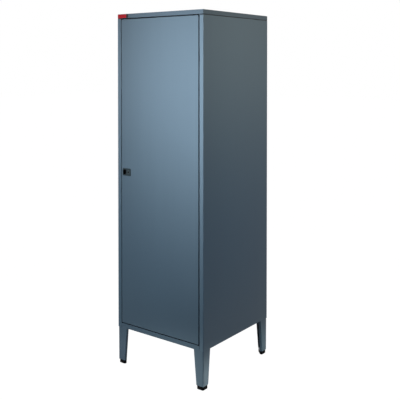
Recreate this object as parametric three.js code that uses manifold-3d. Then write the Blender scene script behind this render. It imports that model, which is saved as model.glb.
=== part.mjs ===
// Tall one-door sheet-steel locker on four pressed legs, with adjustable shelves and a three-point lock.
// Millimetres, +Z up, front towards -Y, hinges on the +X side. The origin is on the floor, under the middle.
import * as THREE from "three";
import { mergeVertices } from "three/addons/utils/BufferGeometryUtils.js";
import Module from "manifold-3d";

const wasm = await Module();
wasm.setup();

// Overall sizes
const WIDTH = 580;
const DEPTH = 600;
const HEIGHT = 1900;

// Sheet metal
const SHEET = 1;
const BEND = 2.5; // outside radius of a fold in panel sheet
const BRACKET_SHEET = 1.5;
const LEG_SHEET = 2;
const LEG_BEND = 5;
const CORNER = 3; // plan radius of a pan's corners
const SHARPEST = 0.5; // smallest plan radius, on the inner rings of a pan

// Clearances
const SEAT = 0.3; // between pieces that are fixed to each other
const PLAY = 0.5; // between pieces that slide or turn past each other

// Carcass
const CAP_HEIGHT = 24;
const CAP_LIP = 16;
const POST_FACE = 25;
const RAIL_HEIGHT = 25.5;
const RAIL_LIP = 15;
const SIDE_TOP_FLANGE = 15;
const BACK_FLANGE = 15;
const STOP_LIP = 13; // rebate lip of the lock-side post, behind the door
const HEADER_TOP_FLANGE = 20;
const HEADER_STOP = 18; // how far the header's lip hangs below the top gap's upper side
const FLOOR_STOP = 18;
const FLOOR_STOP_FOOT = 16;
const HINGE_RELIEF = 30; // the stop lips end this far short of the pivot, clear of the door's corner

// Door
const DOOR_THICKNESS = 20;
const DOOR_LIP = 24;
const DOOR_LOCK_GAP = 2.5;
const DOOR_HINGE_GAP = 5;
const DOOR_TOP_GAP = 4.5;
const DOOR_BOTTOM_GAP = 3;
const STOP_GAP = 3; // from the back of the door to the stop lips
const STIFFENER_CROWN = 40;
const STIFFENER_FLANGE = 15;
const BUMPER_RADIUS = 4.5;
const BUMPER_FROM_END = 280;

// Pivots
const PIVOT_INSET = 12; // from the door's hinge edge
const PIVOT_SETBACK = 9.5; // behind the door's face
const PIN_RADIUS = 4;
const PIN_HEAD_RADIUS = 5.5;
const PIN_HEAD = 3;
const BUSH_WALL = 1.7;
const BUSH_LENGTH = 16;
const BUSH_FLANGE = 1.2;
const BUSH_FLANGE_RADIUS = 9;
const WASHER = 1;
const HINGE_CLEAR = 0.2;

// Lock
const LOCK_HEIGHT = 1049; // of its centre, from the floor
const LOCK_FROM_EDGE = 38; // of its centre, from the door's free edge
const BEZEL_WIDTH = 57;
const BEZEL_HEIGHT = 38.5;
const BEZEL_PROUD = 2;
const BEZEL_CORNER = 4;
const BEZEL_ROUNDING = 0.8;
const TUB_DEPTH = 15;
const SKIN_CUT_MARGIN = 1.5; // bezel edge to the edge of the hole in the door
const POCKET_WIDTH = 22;
const POCKET_HEIGHT = 26;
const POCKET_DEPTH = 14;
const POCKET_DRAFT = 1.5;
const POCKET_OFFSET = -13.5; // pocket's centre from the bezel's centre
const KEY_OFFSET = 12; // key cylinder's centre from the bezel's centre
const BOSS_RADIUS = 12;
const KEY_FACE_RADIUS = 10.5;
const KEY_FACE = 2.5;
const KEY_BODY_RADIUS = 7;
const KEY_TAIL_RADIUS = 5;
const PLUG_RADIUS = 5.2;
const PLUG_RECESS = 1.2;
const KEY_SLOT_WIDTH = 2;
const KEY_SLOT_HEIGHT = 8;
const KEY_SLOT_DEPTH = 7;
const CAM_SHEET = 3;
const CAM_RADIUS = 20;
const CAM_CORE_RADIUS = 2.2; // of the screw that holds the cam
const CAM_SCREW_HEAD_RADIUS = 4.5;
const CAM_SCREW_HEAD = 2.2;
const CAM_SCREW_LENGTH = 8;
const TONGUE_WIDTH = 16;
const TONGUE_REACH = 49;
const KEY_TURN = Math.PI / 2;
const DRIVE_RADIUS = 16;
const DRIVE_PIN_RADIUS = 2.5;
const DRIVE_PLAY = 0.8; // takes up the curve of the drive pin's path
const ROD_WIDTH = 12;
const ROD_SHEET = 3;
const ROD_CHAMFER = 3;
const YOKE_WEB = 3;
const YOKE_HALF_HEIGHT = 9;
const ROD_TIP_CLEAR = 6; // from a drawn-in rod to the edge of its stop lip
const GUIDE_UPRIGHT = 22;
const GUIDE_REACH = 16;
const GUIDE_FROM_TIP = 60;
const GUIDE_FROM_LOCK = 220;
const GUIDE_MARGIN = 4;

// Inside fittings
const UPRIGHT_WIDTH = 25;
const UPRIGHT_DEPTH = 12;
const UPRIGHT_FROM_MIDDLE = 220;
const UPRIGHT_TOP_GAP = 30;
const SLOT_PITCH = 50;
const SLOT_FIRST = 60; // first slot, above the floor panel
const SLOT_WIDTH = 4;
const SLOT_HEIGHT = 16;
const SHELVES = 4;
const SHELF_DEPTH = 25; // height of its folded edge
const SHELF_LIP = 15;
const SHELF_FRONT_CLEAR = 30; // from the back of the door
const SHELF_BACK_CLEAR = 8;
const REST_FOOT = 22;
const REST_UPRIGHT = 22;
const REST_OVERHANG = 15; // past the uprights' middles
const HOOK_SHEET = 2;
const HOOK_HEIGHT = 9;
const HOOK_DROP = 5;
const HOOK_THICK = 2.5;

// Legs and feet
const LEG_HEIGHT = 178;
const LEG_TUCK = 14; // height of leg hidden inside the body's skirt
const LEG_TOP_WIDTH = 62;
const LEG_FOOT_WIDTH = 46;
const LEG_LIP = 14;
const LEG_DRAFT = 0.5; // inward lean of the outer faces from top to bottom
const BASE_RISE = 1; // from a leg's lower edge up to the base inside it
const BASE_RIM = 10;
const BASE_NUT_RADIUS = 9.8;
const BASE_NUT = 8;
const FOOT_HEIGHT = 20;
const FOOT_MARGIN = 2; // from the leg's outer faces in to the foot
const FOOT_CORNER = 9; // plan radius
const FOOT_ROUNDING = 6;
const FOOT_CHAMFER = 1.5;
const STUD_INSET = 23; // stud's centre from the body's outer faces
const STUD_RADIUS = 5;
const STUD_LENGTH = 50;
const STUD_SOCKET = 12;
const STUD_CHAMFER = 1;

// Fineness of round shapes
const BEND_STEPS = 3;
const CORNER_STEPS = 2;
const ROUND_SIDES = 24;
const STUD_SIDES = 12;
const NUT_SIDES = 6;
const ARC_STEPS = 3;
const OVERCUT = 1; // how far a cutting solid runs past what it cuts
const WELD = 1e-4; // corners closer than this become one

// Places that follow from the sizes
const RIGHT = WIDTH / 2;
const BACK = DEPTH / 2;
const FRONT = -BACK;
const BODY_BOTTOM = LEG_HEIGHT + FOOT_HEIGHT;
const FLOOR_TOP = BODY_BOTTOM + RAIL_HEIGHT;
const CAP_BOTTOM = HEIGHT - CAP_HEIGHT;
const SIDE_TOP = CAP_BOTTOM - SEAT;
const INSIDE = RIGHT - SHEET - SEAT; // half width between the side panels
const POST_INNER = RIGHT - POST_FACE;
const DOOR_RIGHT = POST_INNER - DOOR_HINGE_GAP;
const DOOR_LEFT = DOOR_LOCK_GAP - POST_INNER;
const DOOR_TOP = CAP_BOTTOM - DOOR_TOP_GAP;
const DOOR_BOTTOM = FLOOR_TOP + DOOR_BOTTOM_GAP;
const DOOR_BACK = FRONT + DOOR_THICKNESS;
const STOP_FACE = DOOR_BACK + STOP_GAP;
const PIVOT_X = DOOR_RIGHT - PIVOT_INSET;
const PIVOT_Y = FRONT + PIVOT_SETBACK;
const BUSH_RADIUS = PIN_RADIUS + SEAT + BUSH_WALL;
const HEADER_BOTTOM = CAP_BOTTOM + SHEET + SEAT;
const HEADER_STOP_BOTTOM = CAP_BOTTOM - HEADER_STOP;
const FLOOR_STOP_BOTTOM = FLOOR_TOP + SEAT;
const FLOOR_STOP_TOP = FLOOR_STOP_BOTTOM + FLOOR_STOP;
const STOP_LEFT = STOP_LIP + SEAT - POST_INNER;
const STOP_RIGHT = PIVOT_X - HINGE_RELIEF;
const LOCK_X = DOOR_LEFT + LOCK_FROM_EDGE;
const KEY_X = LOCK_X + KEY_OFFSET;
const CAM_FRONT = STOP_FACE + SHEET + PLAY;
const CAM_BACK = CAM_FRONT + CAM_SHEET;
const ROD_FRONT = CAM_BACK + PLAY;
const ROD_BACK = ROD_FRONT + ROD_SHEET;
const DRIVE_NEAR = DRIVE_RADIUS * Math.cos(KEY_TURN / 2); // nearest a drive pin comes to the key's upright
const DRIVE_DROP = DRIVE_RADIUS * Math.sin(KEY_TURN / 2); // half of a rod's travel
const ROD_MIDDLE = (DRIVE_NEAR + DRIVE_RADIUS) / 2;
const UPRIGHT_WEB = INSIDE - UPRIGHT_DEPTH;
const REST_OUTER = UPRIGHT_WEB - SEAT;
const SHELF_HALF_WIDTH = REST_OUTER - BRACKET_SHEET - PLAY;

function leftOf(direction) {
  return new THREE.Vector2(-direction.y, direction.x);
}

// The outline of a sheet folded along a path of its outer corners. The metal lies to the left of the path.
function foldedOutline(path, sheet, bend) {
  const corners = path.map(([u, v]) => new THREE.Vector2(u, v));
  const near = [];
  const far = [];
  const heading = (i) => corners[i + 1].clone().sub(corners[i]).normalize();
  const last = corners.length - 1;
  corners.forEach((corner, i) => {
    if (i === 0 || i === last) {
      const side = leftOf(heading(Math.min(i, last - 1)));
      near.push(corner);
      far.push(corner.clone().addScaledVector(side, sheet));
      return;
    }
    const before = heading(i - 1);
    const after = heading(i);
    const turn = Math.sign(before.cross(after));
    const angle = Math.acos(before.dot(after));
    const nearRadius = turn > 0 ? bend : bend - sheet;
    const farRadius = nearRadius - turn * sheet;
    const spoke = leftOf(before).multiplyScalar(-turn);
    const centre = corner
      .clone()
      .addScaledVector(before, -nearRadius * Math.tan(angle / 2))
      .addScaledVector(spoke, -nearRadius);
    for (let k = 0; k <= BEND_STEPS; k++) {
      const ray = spoke.clone().rotateAround(new THREE.Vector2(), (turn * angle * k) / BEND_STEPS);
      near.push(centre.clone().addScaledVector(ray, nearRadius));
      far.push(centre.clone().addScaledVector(ray, farRadius));
    }
  });
  return [...near, ...far.reverse()];
}

// A rectangle with rounded corners about a centre, as points in order.
function roundedRectangle(width, height, radius, centreX = 0, centreY = 0) {
  const points = [];
  for (let quarter = 0; quarter < 4; quarter++) {
    const signX = quarter === 0 || quarter === 3 ? 1 : -1;
    const signY = quarter < 2 ? 1 : -1;
    const x = centreX + signX * (width / 2 - radius);
    const y = centreY + signY * (height / 2 - radius);
    for (let k = 0; k <= CORNER_STEPS; k++) {
      const angle = (Math.PI / 2) * (quarter + k / CORNER_STEPS);
      points.push(new THREE.Vector2(x + radius * Math.cos(angle), y + radius * Math.sin(angle)));
    }
  }
  return points;
}

// A polygon of outward corners in counterclockwise order, each rounded.
function roundedPolygon(corners, radius) {
  const points = corners.map(([x, y]) => new THREE.Vector2(x, y));
  return points.flatMap((corner, i) => {
    const before = corner.clone().sub(points.at(i - 1)).normalize();
    const after = points[(i + 1) % points.length].clone().sub(corner).normalize();
    const angle = Math.acos(before.dot(after));
    const start = corner.clone().addScaledVector(before, -radius * Math.tan(angle / 2));
    const centre = start.clone().addScaledVector(leftOf(before), radius);
    return Array.from({ length: CORNER_STEPS + 1 }, (_, k) =>
      start.clone().rotateAround(centre, (angle * k) / CORNER_STEPS),
    );
  });
}

// A closed skin over outlines stacked from the top down, with both ends closed.
function loft(layers) {
  const count = layers[0].outline.length;
  const positions = layers.flatMap(({ outline, z }) => outline.flatMap((p) => [p.x, p.y, z]));
  const index = [];
  for (let layer = 0; layer + 1 < layers.length; layer++) {
    for (let i = 0; i < count; i++) {
      const a = layer * count + i;
      const b = layer * count + ((i + 1) % count);
      index.push(a, a + count, b + count, a, b + count, b);
    }
  }
  const lastStart = (layers.length - 1) * count;
  for (const [a, b, c] of THREE.ShapeUtils.triangulateShape(layers[0].outline, [])) {
    index.push(a, b, c);
  }
  for (const [a, b, c] of THREE.ShapeUtils.triangulateShape(layers.at(-1).outline, [])) {
    index.push(lastStart + a, lastStart + c, lastStart + b);
  }
  const geometry = new THREE.BufferGeometry();
  geometry.setAttribute("position", new THREE.Float32BufferAttribute(positions, 3));
  geometry.setIndex(index);
  return geometry;
}

// A pressed pan: its flat face looks up at z = 0, its walls hang down and end in lips turned inwards.
function pressedPan(width, length, depth, lip, sheet) {
  const flat = 2 * BEND;
  const section = foldedOutline([[flat, 0], [0, 0], [0, -depth], [lip, -depth]], sheet, BEND);
  return loft(
    section.map(({ x: inset, y: z }) => ({
      outline: roundedRectangle(width - 2 * inset, length - 2 * inset, Math.max(CORNER - inset, SHARPEST)),
      z,
    })),
  );
}

const AXIS_X = new THREE.Vector3(1, 0, 0);
const AXIS_Y = new THREE.Vector3(0, 1, 0);
const AXIS_Z = new THREE.Vector3(0, 0, 1);
const PUSH_X = new THREE.Matrix4().makeBasis(AXIS_Y, AXIS_Z, AXIS_X);
const PUSH_Y = new THREE.Matrix4().makeBasis(AXIS_X, AXIS_Z, AXIS_Y.clone().negate());

function extruded(shape, length) {
  return new THREE.ExtrudeGeometry(shape, { depth: length, bevelEnabled: false, curveSegments: ARC_STEPS });
}

// An outline in X and Y pushed up from one height to another.
function pushedUp(outline, from, to) {
  return extruded(new THREE.Shape(outline), to - from).translate(0, 0, from);
}

// An outline in Y and Z pushed along X.
function pushedAcross(outline, from, to) {
  return extruded(new THREE.Shape(outline), to - from).applyMatrix4(PUSH_X).translate(from, 0, 0);
}

// A shape in X and Z pushed from front to back.
function pushedBack(shape, from, to) {
  return extruded(shape, to - from).applyMatrix4(PUSH_Y).translate(0, to, 0);
}

function block(x0, x1, y0, y1, z0, z1) {
  return new THREE.BoxGeometry(Math.abs(x1 - x0), Math.abs(y1 - y0), Math.abs(z1 - z0)).translate(
    (x0 + x1) / 2,
    (y0 + y1) / 2,
    (z0 + z1) / 2,
  );
}

// A round profile of [radius, height] points about the Y axis, or stood upright about Z.
function turned(profile, sides = ROUND_SIDES) {
  return new THREE.LatheGeometry(
    profile.map(([radius, height]) => new THREE.Vector2(radius, height)),
    sides,
  );
}

function turnedUpright(profile, sides = ROUND_SIDES) {
  return turned(profile, sides).rotateX(Math.PI / 2);
}

function rod(radius, z0, z1, sides = ROUND_SIDES) {
  return turnedUpright([[0, z0], [radius, z0], [radius, z1], [0, z1]], sides);
}

// A quarter round from one [radius, height] direction to another, as profile points.
function quarterArc(centreRadius, centreHeight, radius, startAngle) {
  return Array.from({ length: ARC_STEPS + 1 }, (_, k) => {
    const angle = startAngle + (Math.PI / 2) * (k / ARC_STEPS);
    return [centreRadius + radius * Math.cos(angle), centreHeight + radius * Math.sin(angle)];
  });
}

// Solids for joining and cutting
function solidOf(geometry) {
  const bare = new THREE.BufferGeometry().setAttribute("position", geometry.getAttribute("position"));
  if (geometry.index) {
    bare.setIndex(geometry.index);
  }
  const merged = mergeVertices(bare, WELD);
  return new wasm.Manifold(
    new wasm.Mesh({
      numProp: 3,
      vertProperties: merged.getAttribute("position").array,
      triVerts: new Uint32Array(merged.index.array),
    }),
  );
}

function geometryOf(solid) {
  const mesh = solid.getMesh();
  const geometry = new THREE.BufferGeometry();
  geometry.setAttribute("position", new THREE.BufferAttribute(mesh.vertProperties, 3));
  geometry.setIndex(new THREE.BufferAttribute(mesh.triVerts, 1));
  return geometry;
}

function joined(...pieces) {
  return geometryOf(pieces.map(solidOf).reduce((whole, piece) => whole.add(piece)));
}

function cut(geometry, ...tools) {
  return geometryOf(tools.map(solidOf).reduce((rest, tool) => rest.subtract(tool), solidOf(geometry)));
}

// Finishes
const FINISHES = {
  paint: { color: 0x5f7484, roughness: 0.45, metalness: 0.1 },
  insidePaint: { color: 0x66798a, roughness: 0.5, metalness: 0.1 },
  blackPlastic: { color: 0x1b1c1e, roughness: 0.5, metalness: 0 },
  zinc: { color: 0xb4b8ba, roughness: 0.35, metalness: 1 },
  darkSteel: { color: 0x3a3d40, roughness: 0.4, metalness: 0.8 },
  rubber: { color: 0x222222, roughness: 0.9, metalness: 0 },
};

const locker = new THREE.Group();
const door = new THREE.Group();
locker.add(door);

function add(parent, name, geometry, finish) {
  const mesh = new THREE.Mesh(geometry, new THREE.MeshStandardMaterial(FINISHES[finish]));
  mesh.name = name;
  parent.add(mesh);
  return mesh;
}

// A side panel is one sheet: rear flange, side, front post and its return, with a stop lip on the lock side.
function sidePanel(side, withStop) {
  const path = [
    [POST_INNER, STOP_FACE],
    [POST_INNER, FRONT],
    [RIGHT, FRONT],
    [RIGHT, BACK],
    [POST_INNER, BACK],
  ];
  if (withStop) {
    path.unshift([POST_INNER - STOP_LIP, STOP_FACE]);
  }
  const mirrored = (outline) => outline.map((p) => new THREE.Vector2(side * p.x, p.y));
  const section = mirrored(foldedOutline(path, SHEET, BEND));
  const flangeBack = BACK - SHEET - SEAT - BACK_FLANGE - SEAT;
  const flangeFront = FRONT + BEND;
  const flange = foldedOutline(
    [[RIGHT, SIDE_TOP - 2 * BEND], [RIGHT, SIDE_TOP], [RIGHT - SIDE_TOP_FLANGE, SIDE_TOP]],
    SHEET,
    BEND,
  );
  const footNotch = (front, top) => block(
    side * (POST_INNER - STOP_LIP - OVERCUT),
    side * (POST_INNER + BEND),
    front,
    STOP_FACE + SHEET + OVERCUT,
    BODY_BOTTOM - OVERCUT,
    top,
  );
  const legNotch = footNotch(FRONT + SHEET, BODY_BOTTOM + LEG_TUCK + SEAT);
  const floorNotch = footNotch(FRONT + BEND - SEAT, FLOOR_TOP + SEAT);
  const topTrim = block(
    side * (RIGHT - SHEET),
    side * (RIGHT + OVERCUT),
    flangeFront,
    flangeBack,
    SIDE_TOP - BEND,
    SIDE_TOP + OVERCUT,
  );
  const folded = cut(pushedUp(section, BODY_BOTTOM, SIDE_TOP), legNotch, floorNotch, topTrim);
  return joined(folded, pushedBack(new THREE.Shape(mirrored(flange)), flangeFront, flangeBack));
}

function addSides() {
  add(locker, "left_side_panel", sidePanel(-1, true), "paint");
  add(locker, "right_side_panel", sidePanel(1, false), "paint");
}

// The floor is folded down into a rail at the front and back, and notched for the posts and the legs.
function addFloor() {
  const section = foldedOutline(
    [
      [BACK - RAIL_LIP, BODY_BOTTOM],
      [BACK, BODY_BOTTOM],
      [BACK, FLOOR_TOP],
      [FRONT, FLOOR_TOP],
      [FRONT, BODY_BOTTOM],
      [FRONT + RAIL_LIP, BODY_BOTTOM],
    ],
    SHEET,
    BEND,
  );
  const legInner = INSIDE - LEG_TOP_WIDTH - SEAT;
  const notches = [-1, 1].flatMap((sx) =>
    [-1, 1].flatMap((sy) => [
      block(
        sx * (POST_INNER - SEAT),
        sx * RIGHT,
        sy * (BACK - BEND),
        sy * (BACK + OVERCUT),
        BODY_BOTTOM - OVERCUT,
        FLOOR_TOP + OVERCUT,
      ),
      block(
        sx * legInner,
        sx * RIGHT,
        sy * (BACK - SHEET),
        sy * (BACK - RAIL_LIP - OVERCUT),
        BODY_BOTTOM - OVERCUT,
        BODY_BOTTOM + LEG_TUCK,
      ),
    ]),
  );
  const pinHole = rod(PIN_RADIUS + SEAT, BODY_BOTTOM, FLOOR_TOP + OVERCUT).translate(PIVOT_X, PIVOT_Y, 0);
  add(locker, "floor_panel", cut(pushedAcross(section, -INSIDE, INSIDE), ...notches, pinHole), "paint");
}

// The back stands on the floor inside the side panels' rear flanges and turns forwards at both ends.
function addBack() {
  const face = BACK - SHEET - SEAT;
  const foot = FLOOR_TOP + SEAT;
  const section = foldedOutline(
    [[face - BACK_FLANGE, foot], [face, foot], [face, SIDE_TOP], [face - BACK_FLANGE, SIDE_TOP]],
    SHEET,
    BEND,
  );
  const half = RIGHT - BEND;
  add(locker, "back_panel", pushedAcross(section, -half, half), "paint");
}

// The cap is a pan that sits on the sides' top flanges, with the upper pivot pin through its front lip.
function addCap() {
  const pan = pressedPan(WIDTH, DEPTH, CAP_HEIGHT, CAP_LIP, SHEET).translate(0, 0, HEIGHT);
  const pinHole = rod(PIN_RADIUS + SEAT, CAP_BOTTOM - OVERCUT, CAP_BOTTOM + 2 * SHEET);
  add(locker, "top_cap", cut(pan, pinHole.translate(PIVOT_X, PIVOT_Y, 0)), "paint");
}

// The header stiffens the cap's front from inside, and its rear edge hangs down as a stop for the door.
function addHeader() {
  const face = FRONT + SHEET + SEAT;
  const top = HEIGHT - SHEET - SEAT;
  const section = foldedOutline(
    [
      [face + HEADER_TOP_FLANGE, top],
      [face, top],
      [face, HEADER_BOTTOM],
      [STOP_FACE, HEADER_BOTTOM],
      [STOP_FACE, HEADER_STOP_BOTTOM],
    ],
    SHEET,
    BEND,
  );
  const trim = (from, to) =>
    block(from, to, FRONT, STOP_FACE + BEND, HEADER_STOP_BOTTOM - OVERCUT, HEADER_BOTTOM);
  const pinHole = rod(PIN_RADIUS + SEAT, HEADER_BOTTOM - OVERCUT, HEADER_BOTTOM + 2 * SHEET);
  const half = RIGHT - CORNER;
  const header = cut(
    pushedAcross(section, -half, half),
    trim(-RIGHT, STOP_LEFT),
    trim(STOP_RIGHT, RIGHT),
    pinHole.translate(PIVOT_X, PIVOT_Y, 0),
  );
  add(locker, "header_rail", header, "paint");
}

// An angle on the floor stops the foot of the door.
function addFloorStop() {
  const section = foldedOutline(
    [
      [STOP_FACE, FLOOR_STOP_TOP],
      [STOP_FACE, FLOOR_STOP_BOTTOM],
      [STOP_FACE + FLOOR_STOP_FOOT, FLOOR_STOP_BOTTOM],
    ],
    SHEET,
    BEND,
  );
  add(locker, "floor_stop", pushedAcross(section, STOP_LEFT, STOP_RIGHT), "paint");
}

// Rubber buttons on the stop lip of the lock-side post quieten the door.
function addBumpers() {
  const thick = STOP_GAP - 2 * SEAT;
  const button = [
    [0, 0],
    [BUMPER_RADIUS, 0],
    ...quarterArc(BUMPER_RADIUS - thick / 2, thick / 2, thick / 2, 0),
    [0, thick],
  ];
  const heights = { upper_bumper: DOOR_TOP - BUMPER_FROM_END, lower_bumper: DOOR_BOTTOM + BUMPER_FROM_END };
  for (const [name, height] of Object.entries(heights)) {
    const bumper = add(locker, name, turned(button).rotateX(Math.PI), "rubber");
    bumper.position.set(STOP_LIP / 2 - POST_INNER, STOP_FACE - SEAT, height);
  }
}

// Slotted channels on the side panels carry the shelves.
function slotHeights() {
  const top = SIDE_TOP - UPRIGHT_TOP_GAP - SLOT_HEIGHT;
  const heights = [];
  for (let z = FLOOR_TOP + SLOT_FIRST; z < top; z += SLOT_PITCH) {
    heights.push(z);
  }
  return heights;
}

function upright() {
  const half = UPRIGHT_WIDTH / 2;
  const section = foldedOutline(
    [[INSIDE, half], [UPRIGHT_WEB, half], [UPRIGHT_WEB, -half], [INSIDE, -half]],
    SHEET,
    BEND,
  );
  const slots = slotHeights().map((z) =>
    block(
      UPRIGHT_WEB - OVERCUT,
      UPRIGHT_WEB + SHEET + OVERCUT,
      -SLOT_WIDTH / 2,
      SLOT_WIDTH / 2,
      z - SLOT_HEIGHT / 2,
      z + SLOT_HEIGHT / 2,
    ),
  );
  return cut(pushedUp(section, FLOOR_TOP + SEAT, SIDE_TOP - UPRIGHT_TOP_GAP), ...slots);
}

const SIDES = { left: Math.PI, right: 0 };
const ENDS = { front: -1, rear: 1 };

function addUprights() {
  const geometry = upright();
  for (const [side, turn] of Object.entries(SIDES)) {
    for (const [end, sign] of Object.entries(ENDS)) {
      const mesh = add(locker, `${end}_${side}_upright`, geometry, "insidePaint");
      mesh.position.y = sign * UPRIGHT_FROM_MIDDLE;
      mesh.rotation.z = turn;
    }
  }
}

// The slot that each shelf's rests hook into shares the height out evenly.
function shelfSlots() {
  const heights = slotHeights();
  const share = (SIDE_TOP - FLOOR_TOP) / (SHELVES + 1);
  return Array.from({ length: SHELVES }, (_, k) => {
    const wanted = (share * (k + 1) - SLOT_FIRST) / SLOT_PITCH;
    return heights[Math.min(Math.round(wanted), heights.length - 1)];
  });
}

// A shelf rest is an angle with a hooked tab through a slot of each upright. Its slot's middle is at z = 0.
const REST_BOTTOM = -REST_UPRIGHT / 2;

function shelfRest() {
  const half = UPRIGHT_FROM_MIDDLE + REST_OVERHANG;
  const angle = foldedOutline(
    [[REST_OUTER - REST_FOOT, REST_BOTTOM], [REST_OUTER, REST_BOTTOM], [REST_OUTER, -REST_BOTTOM]],
    BRACKET_SHEET,
    BEND,
  );
  const behind = UPRIGHT_WEB + SHEET + SEAT;
  const top = HOOK_HEIGHT - SLOT_HEIGHT / 2 + SEAT;
  const hook = new THREE.Shape(
    [
      [REST_OUTER - BRACKET_SHEET, top],
      [REST_OUTER - BRACKET_SHEET, top - HOOK_HEIGHT],
      [behind, top - HOOK_HEIGHT],
      [behind, top - HOOK_HEIGHT - HOOK_DROP],
      [behind + HOOK_THICK, top - HOOK_HEIGHT - HOOK_DROP],
      [behind + HOOK_THICK, top],
    ].map(([x, z]) => new THREE.Vector2(x, z)),
  );
  const hooks = Object.values(ENDS).map((sign) => {
    const middle = sign * UPRIGHT_FROM_MIDDLE;
    return pushedBack(hook, middle - HOOK_SHEET / 2, middle + HOOK_SHEET / 2);
  });
  return joined(pushedBack(new THREE.Shape(angle), -half, half), ...hooks);
}

function addShelves() {
  const front = DOOR_BACK + SHELF_FRONT_CLEAR;
  const back = BACK - SHELF_BACK_CLEAR;
  const pan = pressedPan(2 * SHELF_HALF_WIDTH, back - front, SHELF_DEPTH, SHELF_LIP, SHEET);
  const rest = shelfRest();
  shelfSlots().forEach((height, k) => {
    const shelf = add(locker, `shelf_${k + 1}`, pan, "insidePaint");
    shelf.position.set(0, (front + back) / 2, height + REST_BOTTOM + BRACKET_SHEET + SEAT + SHELF_DEPTH);
    for (const [side, turn] of Object.entries(SIDES)) {
      const mesh = add(locker, `shelf_${k + 1}_${side}_rest`, rest, "insidePaint");
      mesh.position.z = height;
      mesh.rotation.z = turn;
    }
  });
}

// A leg is a pressed angle with lips, tapering downwards. It is drawn with its outer corner at the origin.
function legSection(width, lean) {
  const path = [[LEG_LIP, width], [0, width], [0, 0], [width, 0], [width, LEG_LIP]];
  const moved = path.map(([x, y]) => [x + lean, y + lean]);
  return foldedOutline(moved, LEG_SHEET, LEG_BEND);
}

const LEG_BOTTOM = FOOT_HEIGHT;

// Width and lean of a leg at a height below the body.
function legAt(z) {
  const share = (BODY_BOTTOM - z) / (BODY_BOTTOM - LEG_BOTTOM);
  return { width: LEG_TOP_WIDTH + (LEG_FOOT_WIDTH - LEG_TOP_WIDTH) * share, lean: LEG_DRAFT * share };
}

function leg() {
  const foot = legAt(LEG_BOTTOM);
  return loft([
    { outline: legSection(LEG_TOP_WIDTH, 0), z: BODY_BOTTOM + LEG_TUCK },
    { outline: legSection(LEG_TOP_WIDTH, 0), z: BODY_BOTTOM },
    { outline: legSection(foot.width, foot.lean), z: LEG_BOTTOM },
  ]);
}

const STUD_PLACE = STUD_INSET - SHEET - SEAT; // stud's centre from the leg's outer corner

// What fits between a leg's faces and lips at a height, drawn in by an inset. Its open corner is cut off.
function legFilling(inset, z, radius = LEG_BEND) {
  const { width, lean } = legAt(z);
  const near = lean + inset;
  const far = lean + width - inset;
  const cutOff = lean + LEG_LIP + inset * (1 - Math.SQRT2) + LEG_SHEET;
  const corners = [[near, near], [far, near], [far, cutOff], [cutOff, far], [near, far]];
  return { outline: roundedPolygon(corners, radius), z };
}

// The base is a pressed pan welded in the foot of the leg, with a nut for the levelling stud.
function legBase() {
  const outer = LEG_SHEET + SEAT;
  const inner = outer + BRACKET_SHEET;
  const floor = LEG_BOTTOM + BASE_RISE;
  const floorTop = floor + BRACKET_SHEET;
  const rim = floor + BASE_RIM;
  const outside = loft([legFilling(outer, rim), legFilling(outer, floorTop), legFilling(inner, floor)]);
  const inside = loft([legFilling(inner, rim + OVERCUT), legFilling(inner, floorTop)]);
  const nut = rod(BASE_NUT_RADIUS, floorTop - BRACKET_SHEET / 2, floorTop + BASE_NUT, NUT_SIDES);
  const bore = rod(STUD_RADIUS + SEAT, floor - OVERCUT, floorTop + BASE_NUT + OVERCUT, STUD_SIDES);
  nut.translate(STUD_PLACE, STUD_PLACE, 0);
  bore.translate(STUD_PLACE, STUD_PLACE, 0);
  return cut(joined(cut(outside, inside), nut), bore);
}

// The foot is a moulded block that follows the leg's angle. It rides on the end of the levelling stud.
const FOOT_TOP = FOOT_HEIGHT - SEAT;

function footPad() {
  const layer = (inset, z) => ({ ...legFilling(FOOT_MARGIN + inset, LEG_BOTTOM, FOOT_CORNER - inset), z });
  const rounding = quarterArc(0, FOOT_ROUNDING, FOOT_ROUNDING, -Math.PI / 2)
    .reverse()
    .map(([out, z]) => layer(FOOT_ROUNDING - out, z));
  const moulded = loft([layer(FOOT_CHAMFER, FOOT_TOP), layer(0, FOOT_TOP - FOOT_CHAMFER), ...rounding]);
  const socket = rod(STUD_RADIUS + SEAT, FOOT_TOP - STUD_SOCKET, FOOT_TOP + OVERCUT, STUD_SIDES);
  return cut(moulded, socket.translate(STUD_PLACE, STUD_PLACE, 0));
}

function stud() {
  const bottom = FOOT_TOP - STUD_SOCKET + SEAT;
  const top = bottom + STUD_LENGTH;
  const profile = [
    [0, bottom],
    [STUD_RADIUS, bottom],
    [STUD_RADIUS, top - STUD_CHAMFER],
    [STUD_RADIUS - STUD_CHAMFER, top],
    [0, top],
  ];
  return turnedUpright(profile, STUD_SIDES);
}

function addLegs() {
  const corners = { front_left: 0, front_right: 1, rear_right: 2, rear_left: 3 };
  const pieces = { leg: leg(), base: legBase(), pad: footPad(), stud: stud() };
  for (const [name, quarters] of Object.entries(corners)) {
    const corner = new THREE.Group();
    const signX = quarters === 0 || quarters === 3 ? -1 : 1;
    const signY = quarters < 2 ? -1 : 1;
    corner.position.set(signX * INSIDE, signY * (BACK - SHEET - SEAT), 0);
    corner.rotation.z = (quarters * Math.PI) / 2;
    locker.add(corner);
    add(corner, `${name}_leg`, pieces.leg, "paint");
    add(corner, `${name}_leg_base`, pieces.base, "paint");
    add(corner, `${name}_foot_pad`, pieces.pad, "blackPlastic");
    add(corner, `${name}_foot_stud`, pieces.stud, "zinc").position.set(STUD_PLACE, STUD_PLACE, 0);
  }
}

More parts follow.
